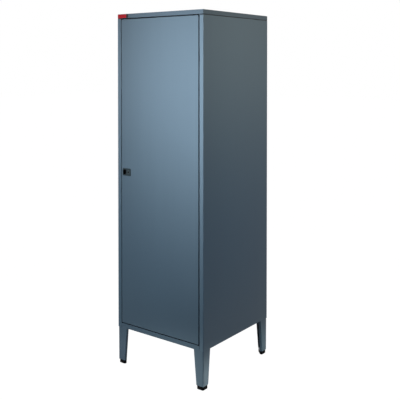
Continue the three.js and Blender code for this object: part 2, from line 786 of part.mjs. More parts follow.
// Pivot pins: one hangs from the header, the other stands up through the floor with a washer under the door.
function addPivots() {
  const upperSeat = HEADER_BOTTOM + SHEET + SEAT;
  const upper = turnedUpright([
    [0, DOOR_TOP - BUSH_LENGTH],
    [PIN_RADIUS, DOOR_TOP - BUSH_LENGTH],
    [PIN_RADIUS, upperSeat],
    [PIN_HEAD_RADIUS, upperSeat],
    [PIN_HEAD_RADIUS, upperSeat + PIN_HEAD],
    [0, upperSeat + PIN_HEAD],
  ]);
  const lowerSeat = FLOOR_TOP - SHEET - SEAT;
  const lower = turnedUpright([
    [0, lowerSeat - PIN_HEAD],
    [PIN_HEAD_RADIUS, lowerSeat - PIN_HEAD],
    [PIN_HEAD_RADIUS, lowerSeat],
    [PIN_RADIUS, lowerSeat],
    [PIN_RADIUS, DOOR_BOTTOM + BUSH_LENGTH],
    [0, DOOR_BOTTOM + BUSH_LENGTH],
  ]);
  const hole = PIN_RADIUS + SEAT;
  const washerBottom = FLOOR_TOP + HINGE_CLEAR;
  const washer = turnedUpright([
    [hole, washerBottom],
    [BUSH_FLANGE_RADIUS, washerBottom],
    [BUSH_FLANGE_RADIUS, washerBottom + WASHER],
    [hole, washerBottom + WASHER],
    [hole, washerBottom],
  ]);
  add(locker, "upper_pivot_pin", upper, "darkSteel").position.set(PIVOT_X, PIVOT_Y, 0);
  add(locker, "lower_pivot_pin", lower, "darkSteel").position.set(PIVOT_X, PIVOT_Y, 0);
  add(locker, "pivot_washer", washer, "darkSteel").position.set(PIVOT_X, PIVOT_Y, 0);
}

// Flanged bushes in the door's ends turn on the pins.
function addBushes() {
  const hole = PIN_RADIUS + SEAT;
  const bush = [
    [hole, -BUSH_LENGTH],
    [BUSH_RADIUS, -BUSH_LENGTH],
    [BUSH_RADIUS, HINGE_CLEAR],
    [BUSH_FLANGE_RADIUS, HINGE_CLEAR],
    [BUSH_FLANGE_RADIUS, HINGE_CLEAR + BUSH_FLANGE],
    [hole, HINGE_CLEAR + BUSH_FLANGE],
    [hole, -BUSH_LENGTH],
  ];
  const upper = add(door, "upper_pivot_bush", turnedUpright(bush), "blackPlastic");
  upper.position.set(PIVOT_X, PIVOT_Y, DOOR_TOP);
  const lower = add(door, "lower_pivot_bush", turnedUpright(bush), "blackPlastic");
  lower.position.set(PIVOT_X, PIVOT_Y, DOOR_BOTTOM);
  lower.rotation.x = Math.PI;
}

// The door is a pan with its face to the front, holed for the bushes and the lock.
function addDoorSkin() {
  const pan = pressedPan(DOOR_RIGHT - DOOR_LEFT, DOOR_TOP - DOOR_BOTTOM, DOOR_THICKNESS, DOOR_LIP, SHEET)
    .rotateX(Math.PI / 2)
    .translate((DOOR_LEFT + DOOR_RIGHT) / 2, FRONT, (DOOR_TOP + DOOR_BOTTOM) / 2);
  const bushHoles = [DOOR_TOP, DOOR_BOTTOM].map((z) =>
    rod(BUSH_RADIUS + SEAT, z - 2 * SHEET, z + 2 * SHEET).translate(PIVOT_X, PIVOT_Y, 0),
  );
  const lockHole = new THREE.Shape(
    roundedRectangle(
      BEZEL_WIDTH - 2 * SKIN_CUT_MARGIN,
      BEZEL_HEIGHT - 2 * SKIN_CUT_MARGIN,
      BEZEL_CORNER,
      LOCK_X,
      LOCK_HEIGHT,
    ),
  );
  const skin = cut(pan, ...bushHoles, pushedBack(lockHole, FRONT - OVERCUT, FRONT + SHEET + OVERCUT));
  add(door, "door_skin", skin, "paint");
}

// A top-hat channel behind the middle of the door keeps it flat.
function addDoorStiffener() {
  const half = STIFFENER_CROWN / 2;
  const foot = FRONT + SHEET + SEAT;
  const crown = DOOR_BACK - 2 * SHEET - SEAT;
  const section = foldedOutline(
    [
      [-half - STIFFENER_FLANGE, foot],
      [-half, foot],
      [-half, crown],
      [half, crown],
      [half, foot],
      [half + STIFFENER_FLANGE, foot],
    ],
    SHEET,
    BEND,
  );
  const margin = BEND + SEAT;
  add(door, "door_stiffener", pushedUp(section, DOOR_BOTTOM + margin, DOOR_TOP - margin), "insidePaint");
}

// The lock housing is one moulding: bezel, finger pocket and a boss for the key cylinder.
function addLockHousing() {
  const bezelShape = new THREE.Shape(
    roundedRectangle(BEZEL_WIDTH, BEZEL_HEIGHT, BEZEL_CORNER, LOCK_X, LOCK_HEIGHT),
  );
  const bezel = new THREE.ExtrudeGeometry(bezelShape, {
    depth: BEZEL_PROUD - SEAT - BEZEL_ROUNDING,
    bevelThickness: BEZEL_ROUNDING,
    bevelSize: BEZEL_ROUNDING,
    bevelOffset: -BEZEL_ROUNDING,
    bevelSegments: CORNER_STEPS,
  })
    .applyMatrix4(PUSH_Y)
    .translate(0, FRONT - SEAT, 0);
  const backing = block(
    LOCK_X - BEZEL_WIDTH / 2,
    LOCK_X + BEZEL_WIDTH / 2,
    FRONT - SEAT,
    FRONT + OVERCUT,
    LOCK_HEIGHT - BEZEL_HEIGHT / 2,
    LOCK_HEIGHT + BEZEL_HEIGHT / 2,
  );
  const neck = BEZEL_ROUNDING + SKIN_CUT_MARGIN;
  const body = new THREE.Shape(
    roundedRectangle(BEZEL_WIDTH - 2 * neck, BEZEL_HEIGHT - 2 * neck, BEZEL_CORNER, LOCK_X, LOCK_HEIGHT),
  );
  const pocketX = LOCK_X + POCKET_OFFSET;
  const pocketLayer = (draft, z) => ({
    outline: roundedRectangle(
      POCKET_WIDTH - 2 * draft,
      POCKET_HEIGHT - 2 * draft,
      BEZEL_CORNER - draft,
      pocketX,
      LOCK_HEIGHT,
    ),
    z,
  });
  const face = FRONT - BEZEL_PROUD;
  const pocket = loft([
    pocketLayer(0, OVERCUT - face),
    pocketLayer(0, -face),
    pocketLayer(POCKET_DRAFT, -face - POCKET_DEPTH),
  ]).rotateX(Math.PI / 2);
  const tubEnd = FRONT + TUB_DEPTH;
  const bossEnd = CAM_FRONT - SEAT;
  const boss = turned([[0, FRONT], [BOSS_RADIUS, FRONT], [BOSS_RADIUS, bossEnd], [0, bossEnd]]);
  const bore = KEY_BODY_RADIUS + SEAT;
  const recess = KEY_FACE_RADIUS + SEAT;
  const faceSeat = face + KEY_FACE;
  const keyBore = turned([
    [0, face - OVERCUT],
    [recess, face - OVERCUT],
    [recess, faceSeat],
    [bore, faceSeat],
    [bore, bossEnd + OVERCUT],
    [0, bossEnd + OVERCUT],
  ]);
  const place = (geometry) => geometry.translate(KEY_X, 0, LOCK_HEIGHT);
  const tub = pushedBack(body, FRONT - BEZEL_PROUD / 2, tubEnd);
  const moulded = joined(cut(bezel, backing), tub, place(boss));
  add(door, "lock_housing", cut(moulded, pocket, place(keyBore)), "blackPlastic");
}

// The key cylinder turns in the housing and carries the cam on its tail.
function addLockCylinder() {
  const face = FRONT - BEZEL_PROUD;
  const shoulder = face + KEY_FACE - SEAT;
  const barrel = turned([
    [0, face + PLUG_RECESS],
    [PLUG_RADIUS, face + PLUG_RECESS],
    [PLUG_RADIUS, face],
    [KEY_FACE_RADIUS, face],
    [KEY_FACE_RADIUS, shoulder],
    [KEY_BODY_RADIUS, shoulder],
    [KEY_BODY_RADIUS, CAM_FRONT - SEAT],
    [KEY_TAIL_RADIUS, CAM_FRONT - SEAT],
    [KEY_TAIL_RADIUS, CAM_BACK],
    [0, CAM_BACK],
  ]);
  const slot = block(
    -KEY_SLOT_WIDTH / 2,
    KEY_SLOT_WIDTH / 2,
    face - OVERCUT,
    face + KEY_SLOT_DEPTH,
    -KEY_SLOT_HEIGHT / 2,
    KEY_SLOT_HEIGHT / 2,
  );
  const core = CAM_CORE_RADIUS + SEAT;
  const screwHole = turned([
    [0, CAM_BACK - CAM_SCREW_LENGTH - SEAT],
    [core, CAM_BACK - CAM_SCREW_LENGTH - SEAT],
    [core, CAM_BACK + OVERCUT],
    [0, CAM_BACK + OVERCUT],
  ], STUD_SIDES);
  const cylinder = add(door, "lock_cylinder", cut(barrel, slot, screwHole), "darkSteel");
  cylinder.position.set(KEY_X, 0, LOCK_HEIGHT);
}

// The cam's tongue points up when unlocked. Two pins on its back drive the rods.
function addLockCam() {
  const half = TONGUE_WIDTH / 2;
  const spread = Math.asin(half / CAM_RADIUS);
  const shape = new THREE.Shape();
  shape.moveTo(half, CAM_RADIUS * Math.cos(spread));
  shape.lineTo(half, TONGUE_REACH - half);
  shape.absarc(0, TONGUE_REACH - half, half, 0, Math.PI, false);
  shape.lineTo(-half, CAM_RADIUS * Math.cos(spread));
  shape.absarc(0, 0, CAM_RADIUS, Math.PI / 2 + spread, (5 * Math.PI) / 2 - spread, false);
  const centreHole = new THREE.Path();
  centreHole.absarc(0, 0, KEY_TAIL_RADIUS + SEAT, 0, 2 * Math.PI, true);
  shape.holes.push(centreHole);
  const plate = new THREE.ExtrudeGeometry(shape, {
    depth: CAM_SHEET,
    bevelEnabled: false,
    curveSegments: ROUND_SIDES,
  })
    .applyMatrix4(PUSH_Y)
    .translate(0, CAM_BACK, 0);
  const pinStart = CAM_BACK - CAM_SHEET / 2;
  const pinEnd = ROD_BACK + PLAY;
  const pinProfile = [[0, pinStart], [DRIVE_PIN_RADIUS, pinStart], [DRIVE_PIN_RADIUS, pinEnd], [0, pinEnd]];
  const pins = [1, -1].map((sign) =>
    turned(pinProfile, STUD_SIDES).translate(sign * DRIVE_NEAR, 0, -sign * DRIVE_DROP),
  );
  add(door, "lock_cam", joined(plate, ...pins), "zinc").position.set(KEY_X, 0, LOCK_HEIGHT);
}

function addCamScrew() {
  const headSeat = CAM_BACK + SEAT;
  const screw = turned([
    [0, CAM_BACK - CAM_SCREW_LENGTH],
    [CAM_CORE_RADIUS, CAM_BACK - CAM_SCREW_LENGTH],
    [CAM_CORE_RADIUS, headSeat],
    [CAM_SCREW_HEAD_RADIUS, headSeat],
    [CAM_SCREW_HEAD_RADIUS, headSeat + CAM_SCREW_HEAD],
    [0, headSeat + CAM_SCREW_HEAD],
  ], STUD_SIDES);
  add(door, "cam_screw", screw, "zinc").position.set(KEY_X, 0, LOCK_HEIGHT);
}

// A lock rod is a flat bar whose wide end has a cross slot for a drive pin, drawn with its tip up.
function lockRod(tip) {
  const slotHalf = (DRIVE_RADIUS - DRIVE_NEAR) / 2 + DRIVE_PIN_RADIUS + DRIVE_PLAY;
  const yokeHalf = slotHalf + YOKE_WEB;
  const half = ROD_WIDTH / 2;
  const shoulder = YOKE_HALF_HEIGHT - DRIVE_DROP;
  const outline = [
    [-yokeHalf, -DRIVE_DROP - YOKE_HALF_HEIGHT],
    [yokeHalf, -DRIVE_DROP - YOKE_HALF_HEIGHT],
    [yokeHalf, shoulder],
    [half, shoulder + yokeHalf - half],
    [half, tip - ROD_CHAMFER],
    [half - ROD_CHAMFER, tip],
    [ROD_CHAMFER - half, tip],
    [-half, tip - ROD_CHAMFER],
    [-half, shoulder + yokeHalf - half],
    [-yokeHalf, shoulder],
  ].map(([x, z]) => new THREE.Vector2(ROD_MIDDLE + x, z));
  const shape = new THREE.Shape(outline);
  const slotHeight = 2 * (DRIVE_PIN_RADIUS + DRIVE_PLAY);
  const slot = roundedRectangle(2 * slotHalf, slotHeight, DRIVE_PIN_RADIUS, ROD_MIDDLE, -DRIVE_DROP);
  shape.holes.push(new THREE.Path(slot));
  return pushedBack(shape, ROD_FRONT, ROD_BACK);
}

const UPPER_TIP = HEADER_STOP_BOTTOM - ROD_TIP_CLEAR - LOCK_HEIGHT; // above the key centre
const LOWER_TIP = LOCK_HEIGHT - FLOOR_STOP_TOP - ROD_TIP_CLEAR; // below the key centre

function addRods() {
  add(door, "upper_rod", lockRod(UPPER_TIP), "zinc").position.set(KEY_X, 0, LOCK_HEIGHT);
  const lower = lockRod(LOWER_TIP).rotateY(Math.PI);
  add(door, "lower_rod", lower, "zinc").position.set(KEY_X, 0, LOCK_HEIGHT);
}

// Angles on the door's lip, each with a slot that a rod slides in.
function addRodGuides() {
  const from = STOP_LEFT + PLAY;
  const to = KEY_X + ROD_MIDDLE + ROD_WIDTH / 2 + GUIDE_MARGIN;
  const face = DOOR_BACK + SEAT;
  const section = foldedOutline(
    [[face, GUIDE_UPRIGHT], [face, 0], [face + GUIDE_REACH, 0]],
    BRACKET_SHEET,
    BEND,
  );
  const half = ROD_WIDTH / 2 + PLAY;
  const slotAt = (x) =>
    block(x - half, x + half, ROD_FRONT - PLAY, ROD_BACK + PLAY, -OVERCUT, BRACKET_SHEET + OVERCUT);
  const guides = {
    upper_rod_tip_guide: [1, UPPER_TIP - GUIDE_FROM_TIP],
    upper_rod_lock_guide: [1, GUIDE_FROM_LOCK],
    lower_rod_lock_guide: [-1, -GUIDE_FROM_LOCK],
    lower_rod_tip_guide: [-1, GUIDE_FROM_TIP - LOWER_TIP],
  };
  for (const [name, [sign, height]] of Object.entries(guides)) {
    const guide = cut(pushedAcross(section, from, to), slotAt(KEY_X + sign * ROD_MIDDLE));
    add(door, name, guide, "zinc").position.z = LOCK_HEIGHT + height;
  }
}

addSides();
addFloor();
addBack();
addCap();
addHeader();
addFloorStop();
addBumpers();
addUprights();
addShelves();
addLegs();
addPivots();
addBushes();
addDoorSkin();
addDoorStiffener();
addLockHousing();
addLockCylinder();
addLockCam();
addCamScrew();
addRods();
addRodGuides();

export default locker;
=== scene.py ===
"""Looks of a tall sheet-steel tool locker with one door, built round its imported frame."""
import math

import bmesh
import bpy
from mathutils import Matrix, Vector


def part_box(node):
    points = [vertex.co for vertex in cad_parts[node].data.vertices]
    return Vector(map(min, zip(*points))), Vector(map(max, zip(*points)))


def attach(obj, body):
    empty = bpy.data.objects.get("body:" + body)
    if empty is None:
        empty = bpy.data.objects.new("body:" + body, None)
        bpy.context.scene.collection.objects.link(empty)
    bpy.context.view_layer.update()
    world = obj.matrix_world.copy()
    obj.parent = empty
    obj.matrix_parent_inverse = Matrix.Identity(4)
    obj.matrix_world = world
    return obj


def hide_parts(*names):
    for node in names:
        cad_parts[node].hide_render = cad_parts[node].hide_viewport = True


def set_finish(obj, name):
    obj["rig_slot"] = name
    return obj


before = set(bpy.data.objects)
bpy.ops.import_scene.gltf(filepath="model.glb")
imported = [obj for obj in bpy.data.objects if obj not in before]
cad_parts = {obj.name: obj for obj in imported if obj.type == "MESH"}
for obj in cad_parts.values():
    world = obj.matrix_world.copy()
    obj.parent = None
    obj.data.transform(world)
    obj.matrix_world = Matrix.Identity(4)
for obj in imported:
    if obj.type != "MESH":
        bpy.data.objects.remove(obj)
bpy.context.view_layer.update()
scene = bpy.context.scene
scene.view_settings.view_transform = "Standard"

# Camera: a view camera at eye height, to the right of the door. It looks almost level,
# and its picture is shifted down so that the uprights stay upright.
camera = bpy.data.objects.new("camera", bpy.data.cameras.new("camera"))
camera.location = (2.34535, -3.04887, 1.60916)
camera.rotation_euler = (math.radians(88.8185), 0, math.radians(37.0588))
camera.data.lens = 62.70
camera.data.sensor_width = 36
camera.data.shift_y = -0.2939
scene.collection.objects.link(camera)
scene.camera = camera


# Studio: a pale floor in a white room, lit by softboxes on stands. A key and a low one stand in
# front on the left, a high and a low one on the right, and four small ones light the legs.
# Two more light the back and the left side. None of them leaves its shape in the coat's gloss.
class Tone:
    """A socket of one node tree. Sums and products of tones and numbers add Math nodes."""

    def __init__(self, tree, socket=None):
        self.tree = tree
        self.socket = socket

    def node(self, kind, settings=None, inputs=None, output=0):
        """Any other node: its settings first, then the values or links of its sockets."""
        node = self.tree.nodes.new("ShaderNode" + kind)
        for name, value in (settings or {}).items():
            setattr(node, name, value)
        for key, value in (inputs or {}).items():
            socket = self.found(node.inputs, key)
            if isinstance(value, Tone):
                self.tree.links.new(value.socket, socket)
            else:
                socket.default_value = value
        return Tone(self.tree, self.found(node.outputs, output))

    @staticmethod
    def found(sockets, key):
        """A socket by its number, name or identifier."""
        if isinstance(key, int):
            return sockets[key]
        return next(socket for socket in sockets if key in (socket.identifier, socket.name))

    def math(self, operation, first, second):
        return self.node("Math", {"operation": operation}, {0: first, 1: second})

    def __add__(self, other):
        return self.math("ADD", self, other)

    def __sub__(self, other):
        return self.math("SUBTRACT", self, other)

    def __mul__(self, other):
        return self.math("MULTIPLY", self, other)


def seen_white(tree):
    """1 for rays from the camera, a mirror or a window, and 0 for light that falls on things."""
    rays = Tone(tree)
    from_camera = rays.node("LightPath", output="Is Camera Ray")
    from_mirror = rays.node("LightPath", output="Is Glossy Ray")
    from_window = rays.node("LightPath", output="Is Transmission Ray")
    return rays.math("MINIMUM", from_camera + from_mirror + from_window, 1.0)


def deselect():
    for item in bpy.context.selected_objects:
        item.select_set(False)


FLOOR_SIZE = 60
FLOOR_SHADE = (0.24, 0.24, 0.24, 1)
FLOOR_PALE = (0.28, 0.28, 0.28, 1)
FLOOR_GLOW = 0.985
deselect()
bpy.ops.mesh.primitive_plane_add(size=FLOOR_SIZE)
floor = bpy.context.object
floor.name = "floor"
floor_finish = bpy.data.materials.new("pale floor")
floor_finish.use_nodes = True
floor_tree = floor_finish.node_tree
floor_start = Tone(floor_tree)
speckle = floor_start.node("TexNoise", None, {
    "Vector": floor_start.node("TexCoord", output="Object"), "Scale": 40.0, "Detail": 3.0})
floor_colour = floor_start.node("Mix", {"data_type": "RGBA"}, {
    "Factor_Float": speckle, "A_Color": FLOOR_SHADE, "B_Color": FLOOR_PALE}, "Result_Color")
lit_floor = floor_start.node("BsdfDiffuse", None, {"Color": floor_colour})
floor_glow = floor_start.node("Emission", None, {"Strength": FLOOR_GLOW})
glowing_floor = floor_start.node("AddShader", None, {0: floor_glow, 1: lit_floor})
floor_surface = floor_start.node("MixShader", None, {
    0: seen_white(floor_tree), 1: lit_floor, 2: glowing_floor})
floor_tree.links.new(floor_surface.socket, floor_tree.nodes["Material Output"].inputs["Surface"])
floor.data.materials.append(floor_finish)

ROOM_LIGHT = 0.070
world = bpy.data.worlds.new("white room")
world.use_nodes = True
scene.world = world
room_tree = world.node_tree
room = Tone(room_tree)
room_strength = seen_white(room_tree) * (1 - ROOM_LIGHT) + ROOM_LIGHT
room_light = room.node("Background", None, {"Color": (1.0, 1.0, 1.0, 1), "Strength": room_strength})
room_tree.links.new(room_light.socket, room_tree.nodes["World Output"].inputs["Surface"])


def softbox(name, place, target, size, power, spread, colour=(1.0, 1.0, 1.0)):
    """A soft lamp aimed at a target, its beam narrowed to a spread in degrees, without glare."""
    lamp = bpy.data.objects.new(name, bpy.data.lights.new(name, "AREA"))
    lamp.data.shape = "RECTANGLE"
    lamp.data.size, lamp.data.size_y = size
    lamp.data.energy = power
    lamp.data.spread = math.radians(spread)
    lamp.data.color = colour
    lamp.visible_glossy = False
    lamp.location = place
    lamp.rotation_euler = (Vector(target) - Vector(place)).to_track_quat("-Z", "Y").to_euler()
    scene.collection.objects.link(lamp)


softbox("key softbox", place=(-0.5, -2.75, 1.9), target=(0.36, -0.3, 1.57), size=(0.7, 0.8),
        power=7.25, spread=42, colour=(1.0, 0.92, 0.89))
softbox("low softbox", place=(-0.9, -2.75, 0.7), target=(-0.05, -0.3, 0.62), size=(0.7, 0.6),
        power=1.75, spread=50, colour=(0.74, 0.90, 1.0))
softbox("side softbox", place=(3.0, -0.6, 2.1), target=(0.29, 0.0, 1.85), size=(1.0, 1.0),
        power=2.25, spread=36, colour=(1.0, 0.80, 0.60))
softbox("low side softbox", place=(3.0, -0.3, 0.9), target=(0.29, 0.0, 0.85), size=(1.0, 0.6),
        power=1.05, spread=60, colour=(0.28, 0.70, 1.0))
softbox("left leg softbox", place=(-0.6, -1.9, 0.12), target=(-0.26, -0.29, 0.08), size=(0.3, 0.1),
        power=0.014, spread=12, colour=(1.0, 0.85, 0.95))
softbox("near leg softbox", place=(-1.6, -1.4, 0.12), target=(0.27, -0.29, 0.06), size=(0.3, 0.1),
        power=0.26, spread=14, colour=(1.0, 0.89, 0.77))
softbox("right leg softbox", place=(1.9, 0.9, 0.12), target=(0.29, -0.24, 0.05), size=(0.2, 0.1),
        power=0.125, spread=9, colour=(1.0, 0.86, 0.72))
softbox("far leg softbox", place=(2.2, 0.5, 0.12), target=(0.29, 0.25, 0.05), size=(0.2, 0.1),
        power=0.036, spread=9, colour=(0.9, 1.0, 0.86))
softbox("back softbox", place=(-0.5, 3.4, 1.5), target=(0.0, 0.3, 1.1), size=(1.0, 1.2),
        power=4.0, spread=50)
softbox("left softbox", place=(-3.4, 0.6, 1.5), target=(-0.29, 0.05, 1.1), size=(1.0, 1.2),
        power=4.0, spread=50)


# Folded carcass sheets: cold-rolled sheet, cut, folded and spot-welded, then powder-coated
# blue-grey all over. Each shown sheet has its cut edges broken and its folds rounded, as the
# coat leaves them.
def activate(piece):
    deselect()
    piece.select_set(True)
    bpy.context.view_layer.objects.active = piece


def finish_start(name):
    """A new material, its Principled shader and its point in Object coordinates."""
    material = bpy.data.materials.new(name)
    material.use_nodes = True
    shader = material.node_tree.nodes["Principled BSDF"]
    return material, shader, Tone(material.node_tree).node("TexCoord", output="Object")


def finish_end(shader, place, values):
    """Sets or links the sockets of a material's Principled shader."""
    for name, value in values.items():
        if isinstance(value, Tone):
            place.tree.links.new(value.socket, shader.inputs[name])
        else:
            shader.inputs[name].default_value = value


def stretched(place, scale):
    return place.node("Mapping", None, {"Vector": place, "Scale": scale})


def noise(place, scale, detail):
    return place.node("TexNoise", None, {"Vector": place, "Scale": scale, "Detail": detail})


def ramped(value, low, high):
    """0 below low, 1 above high, or the other way round where low is the larger."""
    return value.node("MapRange", {"interpolation_type": "SMOOTHSTEP"}, {
        "Value": value, "From Min": low, "From Max": high})


def mixed(factor, first, second):
    return factor.node("Mix", {"data_type": "RGBA"}, {
        "Factor_Float": factor, "A_Color": (*first, 1) if isinstance(first, tuple) else first,
        "B_Color": (*second, 1) if isinstance(second, tuple) else second}, "Result_Color")


def bumped(height, strength, distance):
    return height.node("Bump", None, {"Strength": strength, "Distance": distance, "Height": height})


# Painted shade: how closed in a point is, found by rays cast round it, darkens the coat in narrow gaps
# and corners.
RECESS_SHADE_RAYS = 8
RECESS_SHADE_SPAN = 0.45


def painted_recess_shade(place, reach, start):
    """1 deep in narrow gaps and corners and 0 on open faces: a mask for painted shade."""
    openness = place.node("AmbientOcclusion", {"samples": RECESS_SHADE_RAYS}, {"Distance": reach}, "AO")
    return ramped(openness, start, start - RECESS_SHADE_SPAN)


CAP_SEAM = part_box("top_cap")[0].z
# A narrow band of painted shade just under the cap's lower edge, where the cap sits on the sides.
SEAM_SHADE_START = CAP_SEAM - 0.0040
SEAM_SHADE_FULL = CAP_SEAM - 0.0022
SEAM_SHADE_END = CAP_SEAM + 0.0004
# How far the painted shade in gaps and corners reaches, where it starts, how strong it is and its
# colour.
GAP_SHADE_REACH = 0.02
GAP_SHADE_START = 0.94
GAP_SHADE_STRENGTH = 0.95
GAP_SHADE_COLOUR = (0.008, 0.013, 0.018)
WIPE_STRETCH = (22.0, 22.0, 1.6)
SCUFF_TOP = 0.30
SCUFF_LOW = 0.02
SCUFF_COVER = 0.22
SCUFF_COLOUR = (0.30, 0.33, 0.35)
ROUGHNESS_DRIFT = 0.075


def powder_coat(name, shade, pale, roughness):
    """Powder coat with orange peel, a drift of tone, wiping marks and scuffs low down, and painted
    shade in gaps, corners and the seam under the cap.
    """
    material, shader, place = finish_start(name)
    drift = noise(place, scale=2.2, detail=2.0)
    peel = noise(place, scale=420.0, detail=1.0)
    grain = noise(place, scale=1900.0, detail=1.0)
    wipe = noise(stretched(place, WIPE_STRETCH), scale=1.0, detail=4.0)
    height = place.node("SeparateXYZ", None, {"Vector": place}, "Z")
    spots = ramped(noise(place, scale=75.0, detail=5.0), low=0.60, high=0.74)
    scuff = spots * ramped(height, SCUFF_TOP, SCUFF_LOW)
    tone = mixed(drift * 0.6 + wipe * 0.4, shade, pale)
    seam_shade = ramped(height, SEAM_SHADE_START, SEAM_SHADE_FULL) * ramped(height, SEAM_SHADE_END, CAP_SEAM)
    recess_shade = painted_recess_shade(place, GAP_SHADE_REACH, GAP_SHADE_START)
    # The painted shade of the seam and of gaps and corners, whichever is darker, is laid over the coat.
    painted_shade = place.math("MAXIMUM", recess_shade * GAP_SHADE_STRENGTH, seam_shade * GAP_SHADE_STRENGTH)
    scuffed = mixed(scuff * SCUFF_COVER, tone, SCUFF_COLOUR)
    finish_end(shader, place, {
        "Base Color": mixed(painted_shade, scuffed, GAP_SHADE_COLOUR),
        "Roughness": wipe * 0.10 + grain * 0.05 + scuff * 0.15 + (roughness - ROUGHNESS_DRIFT),
        "Normal": bumped(peel * 0.8 + grain * 0.2, strength=0.22, distance=0.00012),
        "Specular IOR Level": 0.2,
    })
    return material


WELD = 1e-6
FLAT = math.radians(0.6)
SHARP = math.radians(50)


def coated_copy(node, name, edge, finish, slot, body):
    """A shown copy of a CAD sheet: welded up, its cut edges broken and its folds shading round."""
    piece = bpy.data.objects.new(name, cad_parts[node].data.copy())
    scene.collection.objects.link(piece)
    activate(piece)
    bpy.ops.object.mode_set(mode="EDIT")
    bpy.ops.mesh.select_all(action="SELECT")
    bpy.ops.mesh.remove_doubles(threshold=WELD)
    bpy.ops.mesh.dissolve_limited(angle_limit=FLAT)
    bpy.ops.object.mode_set(mode="OBJECT")
    broken = piece.modifiers.new("broken edges", "BEVEL")
    broken.width = edge
    broken.segments = 2
    broken.limit_method = "ANGLE"
    broken.angle_limit = SHARP
    bpy.ops.object.modifier_apply(modifier=broken.name)
    bpy.ops.object.shade_smooth_by_angle(angle=SHARP)
    even = piece.modifiers.new("even faces", "WEIGHTED_NORMAL")
    even.keep_sharp = True
    bpy.ops.object.modifier_apply(modifier=even.name)
    piece.data.materials.clear()
    piece.data.materials.append(finish)
    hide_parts(node)
    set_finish(piece, slot)
    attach(piece, body)


SHEET_EDGE = 0.00022
SEMI_GLOSS = 0.34
outside_coat = powder_coat(
    "blue-grey powder coat", (0.113, 0.181, 0.246), (0.131, 0.208, 0.278), SEMI_GLOSS)
# The side panels with their front posts get a lighter copy of the body coat: painted light that
# brightens the posts.
side_coat_painted_lighter = powder_coat(
    "blue-grey powder coat with painted light", (0.124, 0.198, 0.270), (0.144, 0.229, 0.306), SEMI_GLOSS)
# The cap gets a darker copy of the body coat: painted shade on the cap.
cap_coat_painted_darker = powder_coat(
    "blue-grey powder coat with painted shade", (0.092, 0.146, 0.200), (0.107, 0.169, 0.227), SEMI_GLOSS)
for sheet in ("left_side_panel", "right_side_panel"):
    coated_copy(sheet, sheet + "_sheet", SHEET_EDGE, side_coat_painted_lighter, "outside_paint", "carcass")
for sheet in ("floor_panel", "back_panel", "header_rail", "floor_stop"):
    coated_copy(sheet, sheet + "_sheet", SHEET_EDGE, outside_coat, "outside_paint", "carcass")
coated_copy("top_cap", "top_cap_sheet", SHEET_EDGE, cap_coat_painted_darker, "outside_paint", "carcass")

# Uprights, rests and shelves: roll-formed slotted channels, hooked angle rests and pressed shelf
# trays, all coated before they are fitted. The coat inside is a little flatter than outside.
MATT = 0.55
SHELVES = 4
inside_coat = powder_coat(
    "flat blue-grey powder coat", (0.118, 0.180, 0.238), (0.134, 0.200, 0.262), MATT)
for end in ("front", "rear"):
    for side in ("left", "right"):
        coated_copy(f"{end}_{side}_upright", f"{end}_{side}_slotted_upright", SHEET_EDGE,
                    inside_coat, "inside_paint", "carcass")
for shelf in range(1, SHELVES + 1):
    coated_copy(f"shelf_{shelf}", f"shelf_{shelf}_tray", SHEET_EDGE,
                inside_coat, "inside_paint", "carcass")
    for side in ("left", "right"):
        coated_copy(f"shelf_{shelf}_{side}_rest", f"shelf_{shelf}_{side}_angle", SHEET_EDGE,
                    inside_coat, "inside_paint", "carcass")

# Legs and their bases: each leg is a tapered angle of 2 mm sheet with lips turned in, welded under
# a corner of the body. A pressed pan is welded in its foot and holds the levelling nut.
LEG_EDGE = 0.0004
CORNERS = ("front_left", "front_right", "rear_right", "rear_left")
for corner in CORNERS:
    coated_copy(f"{corner}_leg", f"{corner}_leg_pressing", LEG_EDGE,
                outside_coat, "outside_paint", "carcass")
    coated_copy(f"{corner}_leg_base", f"{corner}_leg_base_pan", SHEET_EDGE,
                outside_coat, "outside_paint", "carcass")


# Levelling feet: a block moulded in black nylon that follows the leg's angle, on a zinc-plated
# M10 stud with a rolled thread. The block has rounded lower edges, a groove round it and a
# recessed sole.
# Painted shade in the finger pocket and the hollows of the black mouldings: how far it reaches, where
# it starts, its colour.
MOULD_SHADE_REACH = 0.03
MOULD_SHADE_START = 0.85
MOULD_SHADE_COLOUR = (0.001, 0.001, 0.002)
DRAWN_STRETCH = (900.0, 900.0, 30.0)


def moulded_black(name, shade, pale, roughness, shine):
    """Dark moulding with a spark-eroded grain, rubbed smoother here and there, and painted shade in its
    pocket and hollows.
    """
    material, shader, place = finish_start(name)
    grain = noise(place, scale=1500.0, detail=2.0)
    rub = ramped(noise(place, scale=90.0, detail=4.0), low=0.45, high=0.75)
    pocket_shade = painted_recess_shade(place, MOULD_SHADE_REACH, MOULD_SHADE_START)
    tone = mixed(grain * 0.5 + rub * 0.5, shade, pale)
    finish_end(shader, place, {
        "Base Color": mixed(pocket_shade, tone, MOULD_SHADE_COLOUR),
        "Roughness": grain * 0.12 - rub * 0.10 + roughness,
        "Normal": bumped(grain, strength=0.35, distance=0.00015),
        "Specular IOR Level": shine,
    })
    return material


